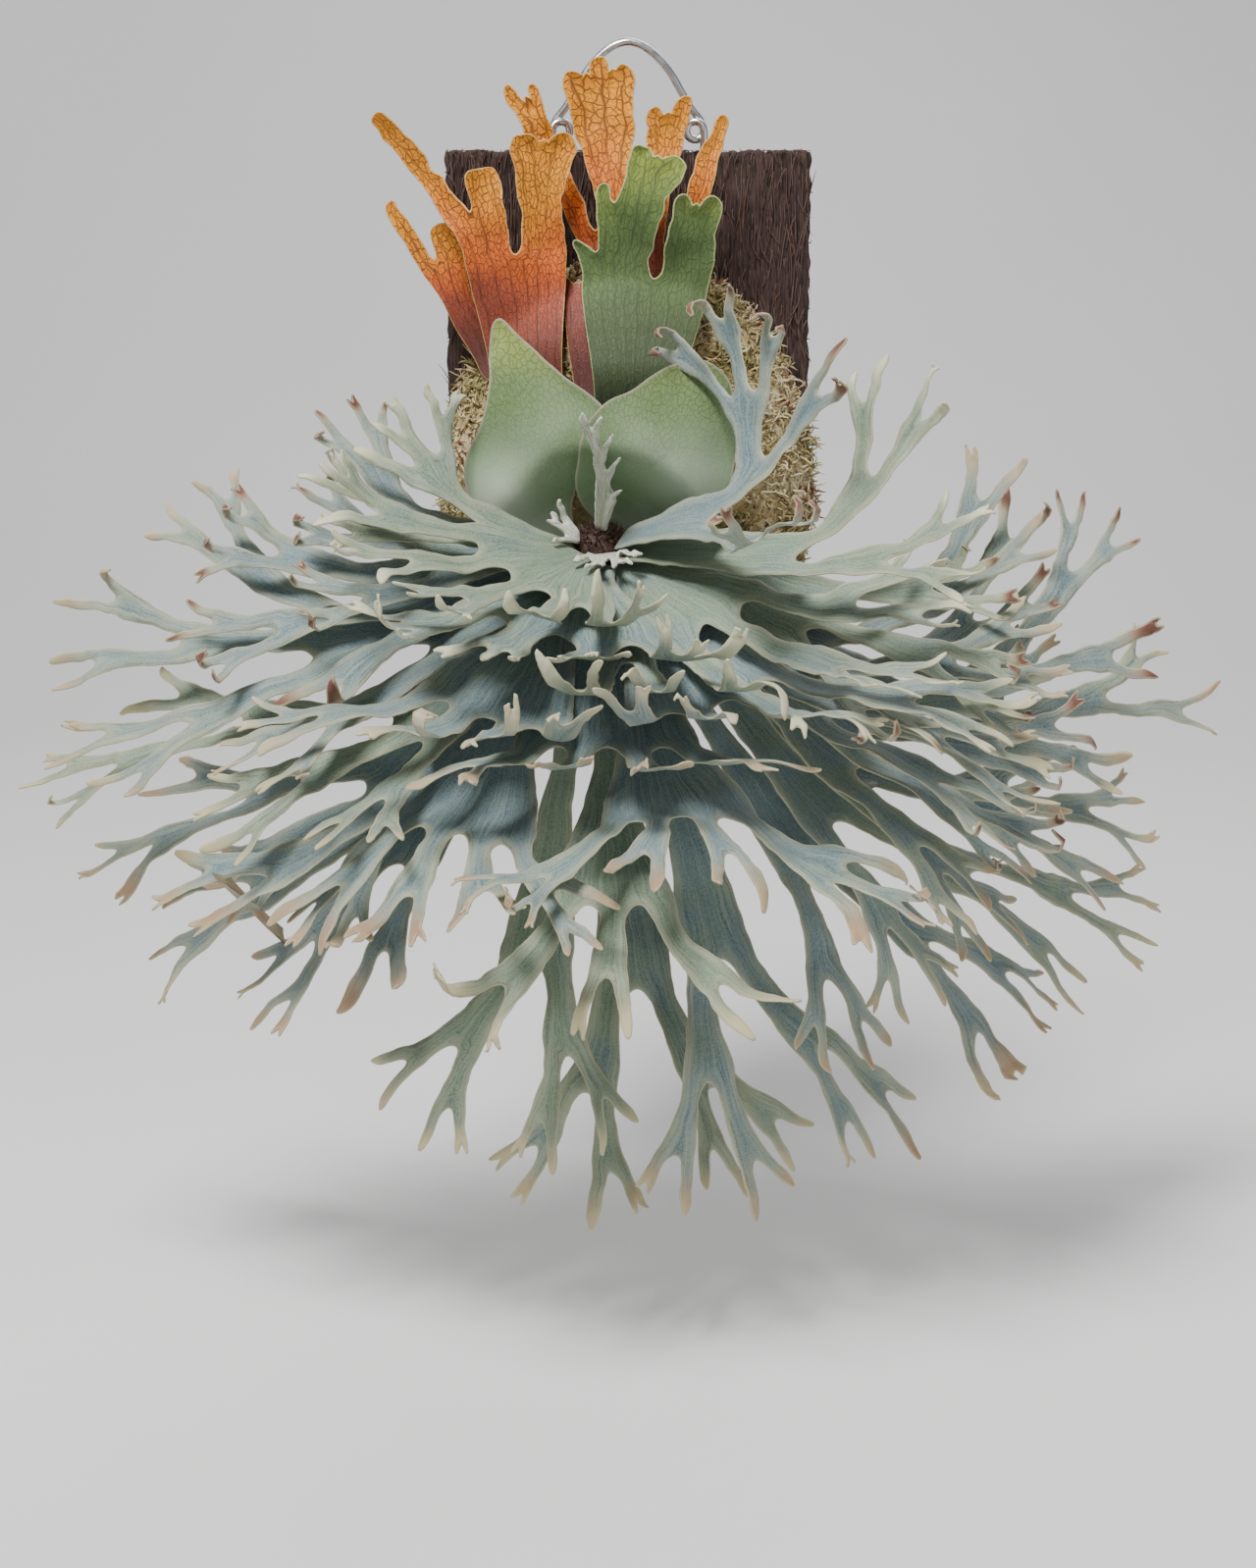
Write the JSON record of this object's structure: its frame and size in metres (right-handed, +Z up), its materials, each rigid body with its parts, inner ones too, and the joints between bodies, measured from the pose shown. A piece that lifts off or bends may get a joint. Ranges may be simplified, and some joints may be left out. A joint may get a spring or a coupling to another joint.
{
  "type": "mounted staghorn fern",
  "caption": "Staghorn fern with lobed shield fronds and a bowl of forked antler fronds, grown on a moss mound on a fibre slab that hangs by a wire loop.",
  "frame": {"origin": "centre of the slab's flat back face", "axes": "+Z up the slab, +Y into the wall behind it, +X to the right of someone who faces the plant"},
  "size_m": [0.6955, 0.353, 0.6604],
  "materials": {
    "fibre": "rough dark fibre",
    "wire": "dull drawn",
    "moss": "dried strands",
    "bud": "hairy scales",
    "shield_green": "felted",
    "shield_orange": "satin",
    "shield_old": "dry",
    "antler": "felted",
    "young": "thick felt"
  },
  "bodies": {
    "root": {"slab": "fibre", "wire_bail": "wire", "moss_mound": "moss", "rhizome": "bud", "shield_frond_back": "shield_orange", "shield_frond_low_left": "shield_orange", "shield_frond_left": "shield_orange", "shield_frond_green": "shield_green", "shield_frond_old_left": "shield_old", "shield_frond_old_right": "shield_old", "shield_frond_round_left": "shield_green", "shield_frond_round_right": "shield_green", "antler_frond_right_1": "antler", "antler_frond_right_2": "antler", "antler_frond_right_3": "antler", "antler_frond_right_4": "antler", "antler_frond_right_5": "antler", "antler_frond_right_6": "antler", "antler_frond_right_7": "antler", "antler_frond_right_8": "antler", "antler_frond_right_9": "antler", "antler_frond_right_10": "antler", "antler_frond_right_11": "antler", "antler_frond_left_1": "antler", "antler_frond_left_2": "antler", "antler_frond_left_3": "antler", "antler_frond_left_4": "antler", "antler_frond_left_5": "antler", "antler_frond_left_6": "antler", "antler_frond_left_7": "antler", "antler_frond_left_8": "antler", "antler_frond_left_9": "antler", "antler_frond_front_1": "antler", "antler_frond_front_2": "antler", "antler_frond_front_3": "antler", "antler_frond_front_4": "antler", "antler_frond_front_5": "antler", "antler_frond_front_6": "antler", "antler_frond_low_1": "antler", "antler_frond_low_2": "antler", "antler_frond_low_3": "antler", "young_frond_upright": "young", "young_frond_folded": "young", "young_frond_fan": "young"}
  },
  "joints": []
}
